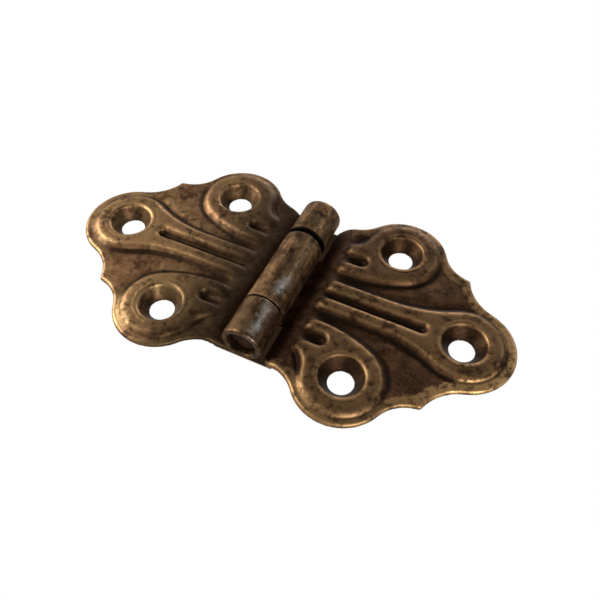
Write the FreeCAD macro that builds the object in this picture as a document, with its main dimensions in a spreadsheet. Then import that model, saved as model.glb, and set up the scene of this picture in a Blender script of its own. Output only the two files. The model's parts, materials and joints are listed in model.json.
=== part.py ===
import FreeCAD, Part
import math
import os
import Sketcher

V = FreeCAD.Vector

# Every size in mm, angles in degrees. A leaf lies on its back with the barrel axis over x = 0.
SIZES = [
    ("sheet_t", 0.9, "thickness of the brass sheet"),
    ("plate_top", 2.5, "height of the flat ground above the barrel's underside"),
    ("relief", 0.7, "height of the pressed lobes above the ground"),
    ("lobe_draft", 38.0, "slope of the lobe walls from upright"),
    ("crest_round", 1.1, "rounding along the lobe crests"),
    ("foot_round", 0.5, "rounding where a lobe meets the ground"),
    ("flange_round", 0.45, "rounding along the outer edge"),
    ("strap_half", 14.75, "half width of the leaf at the barrel"),
    ("edge_x", 3.4, "inner edge of a leaf beside the other leaf's knuckle"),
    ("corner_cut", 0.5, "cut across the corner of a leaf beside an end knuckle"),
    ("neck_rise", 7.15, "centre of the neck's hollow curve beyond the strap's edge"),
    ("neck_r", 6.5, "hollow curve between strap and side lobe"),
    ("side_hole_x", 15.5, "side screw hole from the barrel axis"),
    ("side_hole_y", 13.0, "side screw hole from the middle"),
    ("side_lobe_r", 7.65, "outline round a side hole"),
    ("shoulder_r", 6.0, "hollow curve from side lobe to cusp"),
    ("cusp_x", 27.05, "cusp centre from the barrel axis"),
    ("cusp_y", 12.2, "cusp centre from the middle"),
    ("cusp_r", 0.6, "rounding of the cusp"),
    ("waist_r", 7.5, "hollow curve from cusp to tip lobe"),
    ("tip_hole_x", 30.0, "tip screw hole from the barrel axis"),
    ("tip_lobe_r", 8.0, "outline round the tip hole"),
    ("side_ring_r", 6.45, "foot of the pressed ring round a side hole"),
    ("tip_ring_r", 6.35, "foot of the pressed ring round the tip hole"),
    ("finger_x", 8.1, "centre of the rounded finger ends"),
    ("tip_finger_y", 1.84, "centre of a tip lobe finger"),
    ("tip_finger_w", 2.76, "width of a tip lobe finger"),
    ("tip_flare_r", 23.0, "curve from a tip finger into its ring"),
    ("tip_groove_x", 23.3, "end of the groove between the tip fingers"),
    ("inner_finger_y", 6.4, "centre of the inner side finger"),
    ("inner_finger_w", 2.6, "width of the inner side finger"),
    ("inner_sweep_r", 20.0, "curve from the inner finger into its ring"),
    ("outer_finger_y", 10.6, "centre of the outer side finger"),
    ("outer_finger_w", 2.7, "width of the outer side finger"),
    ("outer_sweep_r", 4.0, "hollow curve from the outer finger into its ring"),
    ("side_groove_x", 9.9, "end of the groove between the side fingers"),
    ("screw_r", 2.0, "screw hole"),
    ("sink_r", 3.62, "rim of the countersink"),
    ("sink_angle", 73.0, "angle of the countersink"),
    ("sink_round", 0.25, "rounding of the countersink rim"),
    ("lobe_wall", 0.85, "wall of a pressed lobe, seen from the back"),
    ("dimple_r", 3.3, "back of the dimple round a screw hole, at the sheet"),
    ("dimple_drop", 0.9, "depth of the dimple below the back of the sheet"),
    ("dimple_angle", 36.0, "slope of the dimple's back from upright"),
    ("ramp_x", 6.7, "start of the sweep down to the barrel"),
    ("strap_x", 2.2, "end of the sweep, under the barrel"),
    ("barrel_r", 3.35, "outside of the knuckles"),
    ("curl_end", 40.0, "end of the curl below the level of the axis"),
    ("front_joint", 7.5, "front joint of the barrel from the middle"),
    ("rear_joint", 7.6, "rear joint of the barrel from the middle"),
    ("front_gap", 0.2, "width of the front joint"),
    ("rear_gap", 0.7, "width of the rear joint"),
    ("front_end", 14.9, "front end of the barrel from the middle"),
    ("rear_end", 15.5, "rear end of the barrel from the middle"),
    ("front_round", 0.4, "rounding at the front end of the barrel"),
    ("rear_round", 0.75, "rounding at the rear end of the barrel"),
    ("joint_round", 0.15, "rounding beside the joints of the barrel"),
    ("slit_x", 6.1, "end of the slit beside the rear knuckle"),
    ("slit_w", 0.35, "width of the slit beside the rear knuckle"),
    ("pin_gap", 0.05, "play between the pin and the centre knuckle"),
    ("pin_inset", 1.2, "depth of the pin ends inside the barrel"),
    ("pin_round", 0.5, "rounding of the pin ends"),
]
size = {name: value for name, value, note in SIZES}

doc = FreeCAD.newDocument("ButterflyHinge")
sheet = doc.addObject("Spreadsheet::Sheet", "Sizes")
for row, (name, value, note) in enumerate(SIZES, start=1):
    sheet.set("A%d" % row, note)
    sheet.set("B%d" % row, str(value))
    sheet.setAlias("B%d" % row, name)
doc.recompute()


def origin_plane(body, role):
    return next(item for item in body.Origin.OriginFeatures if item.Role == role)


# The point of a circle that faces another point, or faces away from it
def facing(centre, radius, toward, turn=1):
    ray = toward.sub(centre).normalize()
    return centre.add(ray * radius * turn)


# Where two circles cross, to the left (turn 1) or right (turn -1) of the line from first to second
def crossing(first, first_r, second, second_r, turn):
    ray = second.sub(first)
    gap = ray.Length
    along = (first_r ** 2 - second_r ** 2 + gap ** 2) / (2 * gap)
    across = math.sqrt(first_r ** 2 - along ** 2)
    ray.normalize()
    return first.add(ray * along).add(V(-ray.y, ray.x, 0) * across * turn)


# A sketch of lines and arcs that follow one another, with its sizes tied to the sheet
class Drawing:
    def __init__(self, body, name, role="XY_Plane"):
        self.sketch = body.newObject("Sketcher::SketchObject", name)
        self.sketch.AttachmentSupport = (origin_plane(body, role), [""])
        self.sketch.MapMode = "FlatFace"
        self.ends = {}

    def line(self, start, end):
        index = self.sketch.addGeometry(Part.LineSegment(start, end), False)
        self.ends[index] = (1, 2)
        return index

    def arc(self, centre, start, end, left=True):
        first, last = (start, end) if left else (end, start)
        low = math.atan2(first.y - centre.y, first.x - centre.x)
        high = math.atan2(last.y - centre.y, last.x - centre.x)
        circle = Part.Circle(centre, V(0, 0, 1), start.sub(centre).Length)
        index = self.sketch.addGeometry(Part.ArcOfCircle(circle, low, high), False)
        self.ends[index] = (1, 2) if left else (2, 1)
        return index

    def circle(self, centre, radius):
        return self.sketch.addGeometry(Part.Circle(centre, V(0, 0, 1), radius), False)

    def mark(self, spot):
        return self.sketch.addGeometry(Part.Point(spot), True)

    def tie(self, *constraint):
        return self.sketch.addConstraint(Sketcher.Constraint(*constraint))

    def rule(self, formula, *constraint):
        self.sketch.setExpression("Constraints[%d]" % self.tie(*constraint), formula)

    def close(self, items, sharp=()):
        for place, before in enumerate(items):
            after = items[(place + 1) % len(items)]
            kind = "Coincident" if place in sharp else "Tangent"
            self.tie(kind, before, self.ends[before][1], after, self.ends[after][0])

    def radius(self, index, formula):
        self.rule(formula, "Radius", index, self.sketch.Geometry[index].Radius)

    def at_x(self, index, spot, formula):
        here = self.sketch.getPoint(index, spot).x
        order = (-1, 1, index, spot) if here > 0 else (index, spot, -1, 1)
        self.rule(formula, "DistanceX", *order, abs(here))

    def at_y(self, index, spot, formula):
        here = self.sketch.getPoint(index, spot).y
        order = (-1, 1, index, spot) if here > 0 else (index, spot, -1, 1)
        self.rule(formula, "DistanceY", *order, abs(here))

    def on_axis(self, index, spot):
        self.tie("PointOnObject", index, spot, -1)

    def level(self, *items):
        for index in items:
            self.tie("Horizontal", index)

    def upright(self, *items):
        for index in items:
            self.tie("Vertical", index)


# Centres of the round stretches of the outline: side lobe, tip lobe, cusp, neck, shoulder, waist
def outline_centres():
    side = V(size["side_hole_x"], size["side_hole_y"], 0)
    tip = V(size["tip_hole_x"], 0, 0)
    cusp = V(size["cusp_x"], size["cusp_y"], 0)
    neck_y = size["strap_half"] + size["neck_rise"]
    reach = (size["side_lobe_r"] + size["neck_r"]) ** 2 - (neck_y - side.y) ** 2
    neck = V(side.x - math.sqrt(reach), neck_y, 0)
    from_side = size["side_lobe_r"] + size["shoulder_r"]
    shoulder = crossing(side, from_side, cusp, size["cusp_r"] + size["shoulder_r"], 1)
    from_tip = size["tip_lobe_r"] + size["waist_r"]
    waist = crossing(tip, from_tip, cusp, size["cusp_r"] + size["waist_r"], -1)
    return side, tip, cusp, neck, shoulder, waist


# Half of the leaf's outline, on the side of +Y
def draw_outline(body):
    side, tip, cusp, neck, shoulder, waist = outline_centres()
    side_r, tip_r, cusp_r = size["side_lobe_r"], size["tip_lobe_r"], size["cusp_r"]
    foot = V(size["strap_x"], 0, 0)
    corner = V(size["strap_x"], size["strap_half"], 0)
    slant = math.sqrt(neck.sub(corner).Length ** 2 - size["neck_r"] ** 2)
    bend = crossing(corner, slant, neck, size["neck_r"], -1)
    end = V(tip.x + tip_r, 0, 0)
    drawing = Drawing(body, "Outline")
    inner = drawing.line(foot, corner)
    strap = drawing.line(corner, bend)
    neck_arc = drawing.arc(neck, bend, facing(side, side_r, neck))
    side_arc = drawing.arc(side, facing(side, side_r, neck), facing(side, side_r, shoulder), False)
    shoulder_arc = drawing.arc(shoulder, facing(side, side_r, shoulder), facing(cusp, cusp_r, shoulder))
    cusp_arc = drawing.arc(cusp, facing(cusp, cusp_r, shoulder), facing(cusp, cusp_r, waist), False)
    waist_arc = drawing.arc(waist, facing(cusp, cusp_r, waist), facing(tip, tip_r, waist))
    tip_arc = drawing.arc(tip, facing(tip, tip_r, waist), end, False)
    middle = drawing.line(end, foot)
    order = [inner, strap, neck_arc, side_arc, shoulder_arc, cusp_arc, waist_arc, tip_arc, middle]
    drawing.close(order, sharp=(0, 7, 8))
    drawing.upright(inner)
    drawing.on_axis(inner, 1)
    drawing.on_axis(tip_arc, 1)
    drawing.on_axis(tip_arc, 3)
    drawing.at_x(inner, 1, "Sizes.strap_x")
    drawing.at_y(strap, 1, "Sizes.strap_half")
    drawing.at_x(side_arc, 3, "Sizes.side_hole_x")
    drawing.at_y(side_arc, 3, "Sizes.side_hole_y")
    drawing.at_x(cusp_arc, 3, "Sizes.cusp_x")
    drawing.at_y(cusp_arc, 3, "Sizes.cusp_y")
    drawing.at_x(tip_arc, 3, "Sizes.tip_hole_x")
    drawing.at_y(neck_arc, 3, "Sizes.strap_half + Sizes.neck_rise")
    drawing.radius(neck_arc, "Sizes.neck_r")
    drawing.radius(side_arc, "Sizes.side_lobe_r")
    drawing.radius(shoulder_arc, "Sizes.shoulder_r")
    drawing.radius(cusp_arc, "Sizes.cusp_r")
    drawing.radius(waist_arc, "Sizes.waist_r")
    drawing.radius(tip_arc, "Sizes.tip_lobe_r")
    return drawing.sketch


# A side lobe, a ring with two short fingers, or with a wall the hollow behind it
def draw_side_lobe(body, name, walled):
    wall = size["lobe_wall"] if walled else 0.0
    less = " - Sizes.lobe_wall" if walled else ""
    more = " + Sizes.lobe_wall" if walled else ""
    ring = V(size["side_hole_x"], size["side_hole_y"], 0)
    inner = V(size["finger_x"], size["inner_finger_y"], 0)
    outer = V(size["finger_x"], size["outer_finger_y"], 0)
    inner_half, outer_half = size["inner_finger_w"] / 2, size["outer_finger_w"] / 2
    sweep_r, hook_r = size["inner_sweep_r"], size["outer_sweep_r"]
    sweep_y = inner.y - inner_half + sweep_r
    reach = (sweep_r - size["side_ring_r"]) ** 2 - (sweep_y - ring.y) ** 2
    sweep = V(ring.x - math.sqrt(reach), sweep_y, 0)
    hook = crossing(ring, size["side_ring_r"] + hook_r, outer, outer_half + hook_r, -1)
    ring_r = size["side_ring_r"] - wall
    base = inner.y - inner_half + wall
    low, high = inner.y + inner_half - wall, outer.y - outer_half + wall
    groove = V(size["side_groove_x"], (low + high) / 2, 0)
    start, bend = V(inner.x, base, 0), V(sweep.x, base, 0)
    into_ring, off_ring = facing(ring, ring_r, sweep, -1), facing(ring, ring_r, hook)
    onto_outer = facing(outer, outer_half - wall, hook)
    drawing = Drawing(body, name)
    edge = drawing.line(start, bend)
    sweep_arc = drawing.arc(sweep, bend, into_ring)
    ring_arc = drawing.arc(ring, into_ring, off_ring)
    hook_arc = drawing.arc(hook, off_ring, onto_outer, False)
    outer_arc = drawing.arc(outer, onto_outer, V(outer.x, high, 0))
    outer_side = drawing.line(V(outer.x, high, 0), V(groove.x, high, 0))
    groove_arc = drawing.arc(groove, V(groove.x, high, 0), V(groove.x, low, 0), False)
    inner_side = drawing.line(V(groove.x, low, 0), V(inner.x, low, 0))
    inner_arc = drawing.arc(inner, V(inner.x, low, 0), start)
    order = [edge, sweep_arc, ring_arc, hook_arc, outer_arc, outer_side, groove_arc, inner_side, inner_arc]
    drawing.close(order)
    drawing.level(edge, outer_side, inner_side)
    drawing.at_x(inner_arc, 3, "Sizes.finger_x")
    drawing.at_y(inner_arc, 3, "Sizes.inner_finger_y")
    drawing.at_x(outer_arc, 3, "Sizes.finger_x")
    drawing.at_y(outer_arc, 3, "Sizes.outer_finger_y")
    drawing.at_x(ring_arc, 3, "Sizes.side_hole_x")
    drawing.at_y(ring_arc, 3, "Sizes.side_hole_y")
    drawing.at_x(groove_arc, 3, "Sizes.side_groove_x")
    drawing.radius(inner_arc, "Sizes.inner_finger_w / 2" + less)
    drawing.radius(outer_arc, "Sizes.outer_finger_w / 2" + less)
    drawing.radius(ring_arc, "Sizes.side_ring_r" + less)
    drawing.radius(sweep_arc, "Sizes.inner_sweep_r" + less)
    drawing.radius(hook_arc, "Sizes.outer_sweep_r" + more)
    return drawing.sketch


# Half of the tip lobe, half a ring with one long finger beside the groove, or the hollow behind it
def draw_tip_lobe(body, name, walled):
    wall = size["lobe_wall"] if walled else 0.0
    less = " - Sizes.lobe_wall" if walled else ""
    more = " + Sizes.lobe_wall" if walled else ""
    ring = V(size["tip_hole_x"], 0, 0)
    finger = V(size["finger_x"], size["tip_finger_y"], 0)
    half = size["tip_finger_w"] / 2
    flare_r = size["tip_flare_r"]
    flare_y = finger.y + half + flare_r
    flare = V(ring.x - math.sqrt((size["tip_ring_r"] + flare_r) ** 2 - flare_y ** 2), flare_y, 0)
    ring_r = size["tip_ring_r"] - wall
    low, high = finger.y - half + wall, finger.y + half - wall
    groove = V(size["tip_groove_x"], 0, 0)
    start, stop = V(ring.x + ring_r, 0, 0), V(groove.x + low, 0, 0)
    off_ring, bend = facing(ring, ring_r, flare), V(flare.x, high, 0)
    drawing = Drawing(body, name)
    ring_arc = drawing.arc(ring, start, off_ring)
    flare_arc = drawing.arc(flare, off_ring, bend, False)
    outer_side = drawing.line(bend, V(finger.x, high, 0))
    finger_arc = drawing.arc(finger, V(finger.x, high, 0), V(finger.x, low, 0))
    groove_side = drawing.line(V(finger.x, low, 0), V(groove.x, low, 0))
    groove_arc = drawing.arc(groove, V(groove.x, low, 0), stop, False)
    middle = drawing.line(stop, start)
    drawing.close([ring_arc, flare_arc, outer_side, finger_arc, groove_side, groove_arc, middle], sharp=(5, 6))
    drawing.level(outer_side, groove_side)
    drawing.on_axis(ring_arc, 1)
    drawing.on_axis(ring_arc, 3)
    drawing.on_axis(groove_arc, 1)
    drawing.on_axis(groove_arc, 3)
    drawing.at_x(ring_arc, 3, "Sizes.tip_hole_x")
    drawing.at_x(finger_arc, 3, "Sizes.finger_x")
    drawing.at_y(finger_arc, 3, "Sizes.tip_finger_y")
    drawing.at_x(groove_arc, 3, "Sizes.tip_groove_x")
    drawing.radius(ring_arc, "Sizes.tip_ring_r" + less)
    drawing.radius(flare_arc, "Sizes.tip_flare_r" + more)
    drawing.radius(finger_arc, "Sizes.tip_finger_w / 2" + less)
    return drawing.sketch


# Equal circles at the three screw holes
def draw_holes(body, name, radius):
    drawing = Drawing(body, name)
    tip = drawing.circle(V(size["tip_hole_x"], 0, 0), size[radius])
    drawing.at_x(tip, 3, "Sizes.tip_hole_x")
    drawing.on_axis(tip, 3)
    drawing.radius(tip, "Sizes." + radius)
    for turn in (1, -1):
        side = drawing.circle(V(size["side_hole_x"], turn * size["side_hole_y"], 0), size[radius])
        drawing.at_x(side, 3, "Sizes.side_hole_x")
        drawing.at_y(side, 3, "Sizes.side_hole_y")
        drawing.radius(side, "Sizes." + radius)
    return drawing.sketch


# Side view of what is taken off where the sheet sweeps down to the barrel, above it or below it
def draw_sweep(body, name, below):
    far, near = size["ramp_x"], size["strap_x"]
    top, low = size["plate_top"], size["sheet_t"]
    bend = ((far - near) ** 2 + (top - low) ** 2) / (4 * (top - low))
    crown_at, sag_at = V(far, top - bend, 0), V(near, low + bend, 0)
    thick = size["sheet_t"] if below else 0.0
    halfway = facing(crown_at, bend - thick, sag_at)
    start, stop = V(far, top - thick, 0), V(near, low - thick, 0)
    edge = size["tip_hole_x"] + size["tip_lobe_r"] + 1 if below else near - 1
    clear = -1.0 if below else top + 1
    less = " - Sizes.sheet_t" if below else ""
    more = " + Sizes.sheet_t" if below else ""
    drawing = Drawing(body, name, "XZ_Plane")
    crown = drawing.arc(crown_at, start, halfway)
    sag = drawing.arc(sag_at, halfway, stop, False)
    if below:
        near_side = drawing.line(stop, V(near, clear, 0))
        across = drawing.line(V(near, clear, 0), V(edge, clear, 0))
        far_side = drawing.line(V(edge, clear, 0), V(edge, start.y, 0))
        flat = drawing.line(V(edge, start.y, 0), start)
        drawing.close([crown, sag, near_side, across, far_side, flat], sharp=(1, 2, 3, 4))
        drawing.at_x(far_side, 1, "Sizes.tip_hole_x + Sizes.tip_lobe_r + 1")
        drawing.at_y(across, 1, "1")
    else:
        flat = drawing.line(stop, V(edge, stop.y, 0))
        far_side = drawing.line(V(edge, stop.y, 0), V(edge, clear, 0))
        across = drawing.line(V(edge, clear, 0), V(far, clear, 0))
        near_side = drawing.line(V(far, clear, 0), start)
        drawing.close([crown, sag, flat, far_side, across, near_side], sharp=(2, 3, 4, 5))
        drawing.at_x(far_side, 1, "Sizes.strap_x - 1")
        drawing.at_y(across, 1, "Sizes.plate_top + 1")
    drawing.upright(near_side, far_side)
    drawing.level(across, flat)
    drawing.at_x(crown, 3, "Sizes.ramp_x")
    drawing.at_x(sag, 3, "Sizes.strap_x")
    reach = "((Sizes.ramp_x - Sizes.strap_x) ^ 2 + (Sizes.plate_top - Sizes.sheet_t) ^ 2)"
    rule = reach + " / (4 * (Sizes.plate_top - Sizes.sheet_t))"
    drawing.radius(crown, rule + less)
    drawing.radius(sag, rule + more)
    drawing.at_y(crown, drawing.ends[crown][0], "Sizes.plate_top" + less)
    return drawing.sketch


# The part of the sheet between two knuckles, cut back to the inner edge
def draw_notch(body, low, high):
    back, edge = size["strap_x"] - 1, size["edge_x"]
    drawing = Drawing(body, "NotchOutline")
    near_side = drawing.line(V(back, low[0], 0), V(edge, low[0], 0))
    inner = drawing.line(V(edge, low[0], 0), V(edge, high[0], 0))
    far_side = drawing.line(V(edge, high[0], 0), V(back, high[0], 0))
    mouth = drawing.line(V(back, high[0], 0), V(back, low[0], 0))
    drawing.close([near_side, inner, far_side, mouth], sharp=(0, 1, 2, 3))
    drawing.level(near_side, far_side)
    drawing.upright(inner, mouth)
    drawing.at_x(inner, 1, "Sizes.edge_x")
    drawing.at_x(mouth, 1, "Sizes.strap_x - 1")
    drawing.at_y(near_side, 1, low[1])
    drawing.at_y(far_side, 1, high[1])
    return drawing.sketch


# The part of the sheet beside an end knuckle, in front of the middle (side -1) or behind it (side 1)
def draw_corner(body, name, start, side):
    back, edge, cut = size["strap_x"] - 1, size["edge_x"], size["corner_cut"]
    past = side * (size["strap_half"] + cut)
    turn = V(edge, side * (size["strap_half"] - cut), 0)
    drawing = Drawing(body, name + "Outline")
    near_side = drawing.line(V(back, start[0], 0), V(edge, start[0], 0))
    inner = drawing.line(V(edge, start[0], 0), turn)
    slope = drawing.line(turn, V(edge + 2 * cut, past, 0))
    far_side = drawing.line(V(edge + 2 * cut, past, 0), V(back, past, 0))
    mouth = drawing.line(V(back, past, 0), V(back, start[0], 0))
    drawing.close([near_side, inner, slope, far_side, mouth], sharp=(0, 1, 2, 3, 4))
    drawing.level(near_side, far_side)
    drawing.upright(inner, mouth)
    drawing.at_x(inner, 1, "Sizes.edge_x")
    drawing.at_x(mouth, 1, "Sizes.strap_x - 1")
    drawing.at_x(slope, 2, "Sizes.edge_x + 2 * Sizes.corner_cut")
    drawing.at_y(near_side, 1, start[1])
    drawing.at_y(slope, 1, "Sizes.strap_half - Sizes.corner_cut")
    drawing.at_y(slope, 2, "Sizes.strap_half + Sizes.corner_cut")
    return drawing.sketch


# Section of a knuckle under the barrel axis, which is the sketch's own x axis
def draw_knuckle(body, name, ends, bore):
    (low, low_rule, low_round), (high, high_rule, high_round) = ends
    outside, inside = -size["barrel_r"], -bore[0]
    near, far = size[low_round], size[high_round]
    drawing = Drawing(body, name, "YZ_Plane")
    drawing.sketch.setExpression("AttachmentOffset.Base.y", "Sizes.barrel_r")
    wall = drawing.line(V(low, inside, 0), V(low, outside + near, 0))
    near_arc = drawing.arc(V(low + near, outside + near, 0), V(low, outside + near, 0), V(low + near, outside, 0))
    skin = drawing.line(V(low + near, outside, 0), V(high - far, outside, 0))
    far_arc = drawing.arc(V(high - far, outside + far, 0), V(high - far, outside, 0), V(high, outside + far, 0))
    face = drawing.line(V(high, outside + far, 0), V(high, inside, 0))
    roof = drawing.line(V(high, inside, 0), V(low, inside, 0))
    drawing.close([wall, near_arc, skin, far_arc, face, roof], sharp=(4, 5))
    drawing.upright(wall, face)
    drawing.level(skin, roof)
    drawing.at_x(wall, 1, low_rule)
    drawing.at_x(face, 1, high_rule)
    drawing.at_y(skin, 1, "Sizes.barrel_r")
    drawing.at_y(roof, 1, bore[1])
    drawing.radius(near_arc, "Sizes." + low_round)
    drawing.radius(far_arc, "Sizes." + high_round)
    return drawing.sketch


# The slit that frees the rear knuckle's strap from the ground plate
def draw_slit(body):
    edge = -(size["rear_joint"] + size["rear_gap"] / 2)
    half = size["slit_w"] / 2
    back, centre = size["edge_x"] - 0.5, V(size["slit_x"] - half, edge + half, 0)
    low, high = V(centre.x, edge, 0), V(centre.x, edge + 2 * half, 0)
    drawing = Drawing(body, "Slit")
    near_side = drawing.line(V(back, edge, 0), low)
    tip = drawing.arc(centre, low, high)
    far_side = drawing.line(high, V(back, high.y, 0))
    mouth = drawing.line(V(back, high.y, 0), V(back, edge, 0))
    drawing.close([near_side, tip, far_side, mouth], sharp=(2, 3))
    drawing.level(near_side, far_side)
    drawing.upright(mouth)
    drawing.at_x(mouth, 1, "Sizes.edge_x - 0.5")
    drawing.at_y(near_side, 1, "Sizes.rear_joint + Sizes.rear_gap / 2")
    drawing.at_x(tip, 3, "Sizes.slit_x - Sizes.slit_w / 2")
    drawing.radius(tip, "Sizes.slit_w / 2")
    return drawing.sketch


def add(body, kind, name, sketch, **rules):
    feature = body.newObject("PartDesign::" + kind, name)
    feature.Profile = sketch
    for key, rule in rules.items():
        feature.setExpression(key, rule)
    body.Tip = feature
    return feature


def mirror(body, name, originals):
    feature = body.newObject("PartDesign::Mirrored", name)
    feature.Originals = originals
    feature.MirrorPlane = (origin_plane(body, "XZ_Plane"), [""])
    body.Tip = feature
    doc.recompute()
    return feature


def fillet(body, name, base, edges, rule):
    feature = body.newObject("PartDesign::Fillet", name)
    feature.Base = (base, edges)
    feature.setExpression("Radius", rule)
    body.Tip = feature
    doc.recompute()
    return feature


def between(item, low, high):
    return item.BoundBox.ZMin > low - 1e-4 and item.BoundBox.ZMax < high + 1e-4


def pick(items, kind, test):
    return [kind + str(place) for place, item in enumerate(items, start=1) if test(item)]


# The pressed wing of a leaf: ground plate, three lobes, sweep down to the barrel, rounded edges
def press_wing(body):
    ground, crest = size["plate_top"], size["plate_top"] + size["relief"]
    halves = [add(body, "Pad", "Plate", draw_outline(body), Length="Sizes.plate_top")]
    for name, draw in (("SideLobe", draw_side_lobe), ("TipLobe", draw_tip_lobe)):
        sketch = draw(body, name, False)
        sketch.setExpression("AttachmentOffset.Base.z", "Sizes.plate_top")
        halves.append(add(body, "Pad", name + "Relief", sketch, Length="Sizes.relief"))
    doc.recompute()
    both = mirror(body, "BothSides", halves)

    level = body.newObject("PartDesign::Plane", "Ground")
    level.AttachmentSupport = (origin_plane(body, "XY_Plane"), [""])
    level.MapMode = "FlatFace"
    level.setExpression("AttachmentOffset.Base.z", "Sizes.plate_top")
    doc.recompute()
    draft = body.newObject("PartDesign::Draft", "LobeDraft")
    walls = pick(both.Shape.Faces, "Face", lambda f: between(f, ground, crest) and f.BoundBox.ZLength > 0.1)
    draft.Base = (both, walls)
    draft.NeutralPlane = (level, [""])
    draft.setExpression("Angle", "Sizes.lobe_draft")
    body.Tip = draft
    doc.recompute()
    tops = pick(draft.Shape.Edges, "Edge", lambda e: between(e, crest, crest))
    crests = fillet(body, "CrestRound", draft, tops, "Sizes.crest_round")

    def at_foot(edge):
        sides = crests.Shape.ancestorsOfType(edge, Part.Face)
        return between(edge, ground, ground) and any(f.BoundBox.ZMax > ground + 1e-3 for f in sides)

    feet = pick(crests.Shape.Edges, "Edge", at_foot)
    fillet(body, "FootRound", crests, feet, "Sizes.foot_round")

    ramp = add(body, "Pocket", "SweepToBarrel", draw_sweep(body, "SweepTop", False))
    ramp.Type = "ThroughAll"
    ramp.Midplane = True
    doc.recompute()

    def at_rim(edge):
        sides = [f.BoundBox for f in ramp.Shape.ancestorsOfType(edge, Part.Face)]
        walled = [box for box in sides if box.ZMin < 1e-4 and box.ZMax > 0.1]
        return edge.BoundBox.ZMin > 0.1 and edge.BoundBox.XMax > size["strap_x"] + 1e-3 and len(walled) == 1

    rims = pick(ramp.Shape.Edges, "Edge", at_rim)
    fillet(body, "FlangeRound", ramp, rims, "Sizes.flange_round")
    back = add(body, "Pocket", "BackOfSheet", draw_sweep(body, "SweepBack", True))
    back.Type = "ThroughAll"
    back.Midplane = True
    doc.recompute()


def cut_through(body, name, sketch):
    notch = add(body, "Pocket", name, sketch)
    notch.Type = "ThroughAll"
    notch.Reversed = True
    doc.recompute()


# A knuckle: a strap that runs under the barrel and curls up and over the pin
def curl_knuckle(body, name, ends, bore):
    section = draw_knuckle(body, name + "Section", ends, bore)
    add(body, "Pad", name + "Strap", section, Length="Sizes.strap_x")
    doc.recompute()
    curl = add(body, "Revolution", name + "Curl", section, Angle="270 + Sizes.curl_end")
    curl.ReferenceAxis = (section, ["H_Axis"])
    doc.recompute()


# The hollow backs of the lobes and the countersunk, dimpled screw holes
def hollow_and_drill(body):
    hollows = []
    for name, draw in (("SideHollow", draw_side_lobe), ("TipHollow", draw_tip_lobe)):
        sketch = draw(body, name, True)
        sketch.setExpression("AttachmentOffset.Base.z", "Sizes.plate_top - Sizes.sheet_t")
        hollows.append(add(body, "Pocket", name + "Back", sketch, Length="Sizes.relief"))
    for pocket in hollows:
        pocket.Reversed = True
    doc.recompute()
    mirror(body, "BothHollows", hollows)
    for name, reach in (("DimpleCore", "Sizes.relief + Sizes.sheet_t / 2"), ("DimpleBack", "Sizes.dimple_drop")):
        rims = draw_holes(body, name + "Rims", "dimple_r")
        rims.setExpression("AttachmentOffset.Base.z", "Sizes.plate_top - Sizes.sheet_t")
        boss = add(body, "Pad", name, rims, Length=reach)
        if name == "DimpleBack":
            boss.Reversed = True
            boss.setExpression("TaperAngle", "-Sizes.dimple_angle")
        doc.recompute()
    spots = draw_holes(body, "ScrewSpots", "screw_r")
    spots.setExpression("AttachmentOffset.Base.z", "Sizes.plate_top + Sizes.relief")
    doc.recompute()
    holes = add(body, "Hole", "ScrewHoles", spots)
    doc.recompute()
    holes.DepthType = "ThroughAll"
    holes.HoleCutType = "Countersink"
    holes.HoleCutCustomValues = True
    holes.setExpression("Diameter", "2 * Sizes.screw_r")
    holes.setExpression("HoleCutDiameter", "2 * Sizes.sink_r")
    holes.setExpression("HoleCutCountersinkAngle", "Sizes.sink_angle")
    doc.recompute()
    crest = size["plate_top"] + size["relief"]

    def at_sink(edge):
        return between(edge, crest, crest) and abs(edge.BoundBox.XLength - 2 * size["sink_r"]) < 1e-3

    fillet(body, "SinkRound", holes, pick(holes.Shape.Edges, "Edge", at_sink), "Sizes.sink_round")


front_end = (size["front_end"], "Sizes.front_end", "front_round")
rear_end = (-size["rear_end"], "Sizes.rear_end", "rear_round")
pin_fit = (size["barrel_r"] - size["sheet_t"], "Sizes.barrel_r - Sizes.sheet_t")
loose_fit = (pin_fit[0] + size["pin_gap"], pin_fit[1] + " + Sizes.pin_gap")


# A place on the barrel, in front of the middle (side -1) or behind it (side 1), beside a joint
def beside(joint, gap, outward, side):
    place = size[joint] + outward * size[gap] / 2
    rule = "Sizes.%s %s Sizes.%s / 2" % (joint, "+" if outward > 0 else "-", gap)
    return (side * place, rule, "joint_round")


right_leaf = doc.addObject("PartDesign::Body", "right_leaf")
press_wing(right_leaf)
centre_ends = (beside("front_joint", "front_gap", -1, -1), beside("rear_joint", "rear_gap", -1, 1))
cut_through(right_leaf, "FrontCorner", draw_corner(right_leaf, "FrontCorner", centre_ends[0], -1))
cut_through(right_leaf, "RearCorner", draw_corner(right_leaf, "RearCorner", centre_ends[1], 1))
curl_knuckle(right_leaf, "Centre", centre_ends, loose_fit)
hollow_and_drill(right_leaf)

# The left leaf is made the same way and turned half round, so its own +Y is the hinge's front
left_leaf = doc.addObject("PartDesign::Body", "left_leaf")
press_wing(left_leaf)
front_side, rear_side = beside("front_joint", "front_gap", 1, 1), beside("rear_joint", "rear_gap", 1, -1)
cut_through(left_leaf, "CentreNotch", draw_notch(left_leaf, rear_side, front_side))
curl_knuckle(left_leaf, "Front", (front_side, front_end), pin_fit)
curl_knuckle(left_leaf, "Rear", (rear_end, rear_side), pin_fit)
cut_through(left_leaf, "StrapSlit", draw_slit(left_leaf))
hollow_and_drill(left_leaf)
left_leaf.Placement = FreeCAD.Placement(V(0, 0, 0), FreeCAD.Rotation(V(0, 0, 1), 180))

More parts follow.
